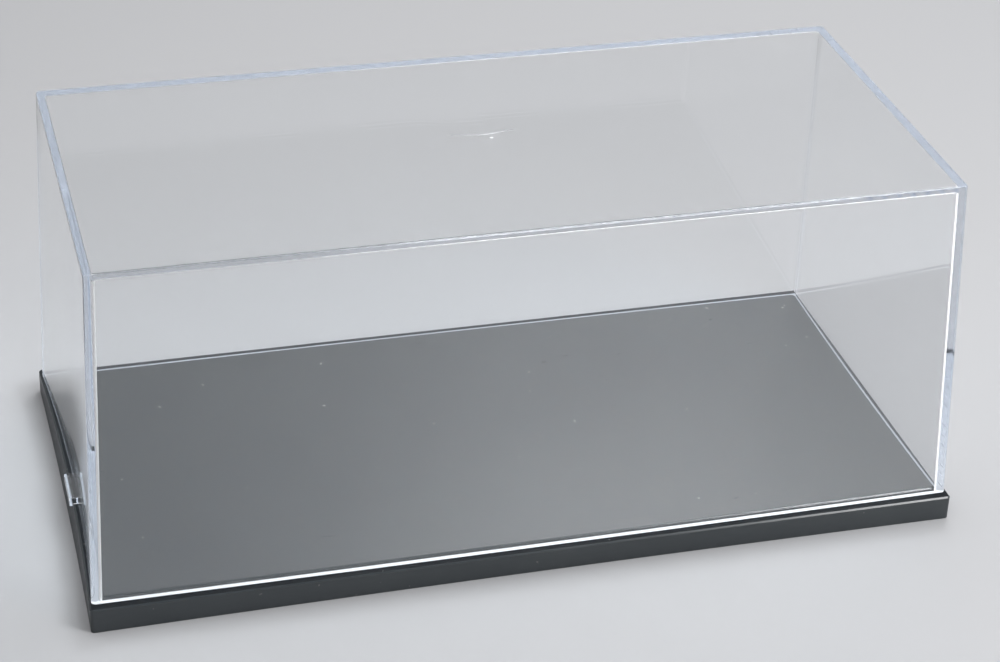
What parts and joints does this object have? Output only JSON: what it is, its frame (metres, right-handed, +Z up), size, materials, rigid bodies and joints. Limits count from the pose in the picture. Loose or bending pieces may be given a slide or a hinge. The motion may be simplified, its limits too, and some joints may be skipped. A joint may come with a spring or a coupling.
{
  "type": "display case",
  "caption": "Clear box-shaped cover that stands on a dark rectangular base tray and lifts straight off, to show and keep dust off a scale model.",
  "frame": {"origin": "middle of the base tray's underside, on the surface that the case stands on", "axes": "+Z up, +X along the case's longest side, +Y from the front long side to the back long side"},
  "size_m": [0.245, 0.1234, 0.1036],
  "materials": {
    "dark_plastic": "black moulded polystyrene, satin, with faint handling scratches and specks",
    "clear_plastic": "water-clear moulded polystyrene, polished, faintly blue where seen edge-on"
  },
  "bodies": {
    "base": {"base_tray": "dark_plastic"},
    "cover": {"clear_cover": "clear_plastic"}
  },
  "joints": [
    {"name": "cover_lift", "type": "slide", "parent": "base", "child": "cover", "axis": [0, 0, 1], "range_m": [0, 0.12]}
  ]
}
